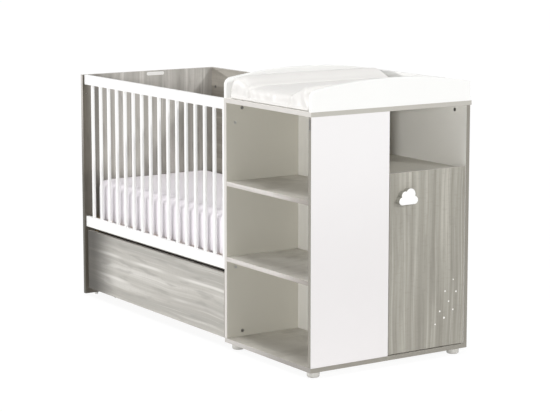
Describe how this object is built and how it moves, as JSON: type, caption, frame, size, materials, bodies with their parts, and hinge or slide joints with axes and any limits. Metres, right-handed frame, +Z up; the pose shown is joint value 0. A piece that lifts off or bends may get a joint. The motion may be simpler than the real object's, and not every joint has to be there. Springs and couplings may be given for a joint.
{
  "type": "crib with attached changer",
  "caption": "Slatted crib over a drawer on castors, joined to a changer chest with open niches, a cupboard with a hinged door and a padded mat between raised rims.",
  "frame": {"origin": "on the floor, below the middle of the whole object's box", "axes": "+X along the length from the crib towards the chest, +Y from the slatted front to the back, +Z up"},
  "size_m": [1.869, 0.771, 1.137],
  "materials": {
    "wood_decor": "matte",
    "grey_board": "matte",
    "white_board": "satin",
    "white_lacquer": "satin",
    "plain_wood": "matte",
    "fibre_board": "matte",
    "mattress_cover": "matte",
    "mat_cover": "satin",
    "steel": "satin",
    "zinc": "satin",
    "white_plastic": "matte",
    "dark_plastic": "matte",
    "wheel_tread": "matte"
  },
  "bodies": {
    "frame": {"end_panel": "wood_decor", "end_panel_glides": "white_plastic", "end_panel_strip": "white_plastic", "back_panel": "wood_decor", "gate_top_rail": "white_lacquer", "gate_bottom_rail": "white_lacquer", "gate_slats": "white_lacquer", "gate_post": "white_lacquer", "gate_bolts": "steel", "gate_barrel_nuts": "steel", "gate_dowels": "plain_wood", "post_bolts": "steel", "base_rail_front": "plain_wood", "base_rail_back": "plain_wood", "base_slats": "plain_wood", "base_cleats": "plain_wood", "cleat_screws": "steel", "mattress": "mattress_cover", "chest_top": "grey_board", "chest_bottom": "grey_board", "chest_side": "grey_board", "white_side_panel": "white_board", "chest_back": "grey_board", "chest_divider": "grey_board", "niche_shelf_upper": "grey_board", "niche_shelf_lower": "grey_board", "cupboard_shelf": "grey_board", "shelf_pins": "steel", "cam_locks": "zinc", "cam_bolts": "steel", "chest_feet": "white_plastic", "foot_screws": "steel", "corner_fitting": "dark_plastic", "hinge_arms": "steel", "hinge_plates": "steel", "hinge_screws": "steel", "changer_rim_left": "white_board", "changer_rim_right": "white_board", "changer_rim_back": "white_board", "rim_screws": "steel", "changer_mat": "mat_cover"},
    "door": {"door_panel": "wood_decor", "door_knob": "white_lacquer", "knob_screws": "steel", "hinge_cups": "steel"},
    "drawer": {"drawer_front": "wood_decor", "drawer_side_left": "grey_board", "drawer_side_right": "grey_board", "drawer_back": "grey_board", "drawer_bottom": "fibre_board", "drawer_bearers": "plain_wood", "drawer_cams": "zinc", "drawer_cam_bolts": "steel", "drawer_screws": "steel", "castor_forks": "dark_plastic", "castor_axles": "steel"},
    "wheel_front_left": {"wheel_front_left": "wheel_tread"},
    "wheel_front_right": {"wheel_front_right": "wheel_tread"},
    "wheel_rear_left": {"wheel_rear_left": "wheel_tread"},
    "wheel_rear_right": {"wheel_rear_right": "wheel_tread"}
  },
  "joints": [
    {"name": "door_hinge", "type": "hinge", "parent": "frame", "child": "door", "pos_m": [0.9095, 0.3585, 0.4], "axis": [0, 0, 1], "range_deg": [0, 105]},
    {"name": "drawer_slide", "type": "slide", "parent": "frame", "child": "drawer", "axis": [0, -1, 0], "range_m": [0, 0.55]},
    {"name": "front_left_roll", "type": "hinge", "parent": "drawer", "child": "wheel_front_left", "pos_m": [-0.8015, -0.2895, 0.0175], "axis": [1, 0, 0], "continuous": true},
    {"name": "front_right_roll", "type": "hinge", "parent": "drawer", "child": "wheel_front_right", "pos_m": [0.1785, -0.2895, 0.0175], "axis": [1, 0, 0], "continuous": true},
    {"name": "rear_left_roll", "type": "hinge", "parent": "drawer", "child": "wheel_rear_left", "pos_m": [-0.8015, 0.1405, 0.0175], "axis": [1, 0, 0], "continuous": true},
    {"name": "rear_right_roll", "type": "hinge", "parent": "drawer", "child": "wheel_rear_right", "pos_m": [0.1785, 0.1405, 0.0175], "axis": [1, 0, 0], "continuous": true}
  ],
  "couplings": [
    {"joint": "front_left_roll", "follows": "drawer_slide", "rad_per_m": 57.143},
    {"joint": "front_right_roll", "follows": "drawer_slide", "rad_per_m": 57.143},
    {"joint": "rear_left_roll", "follows": "drawer_slide", "rad_per_m": 57.143},
    {"joint": "rear_right_roll", "follows": "drawer_slide", "rad_per_m": 57.143}
  ]
}
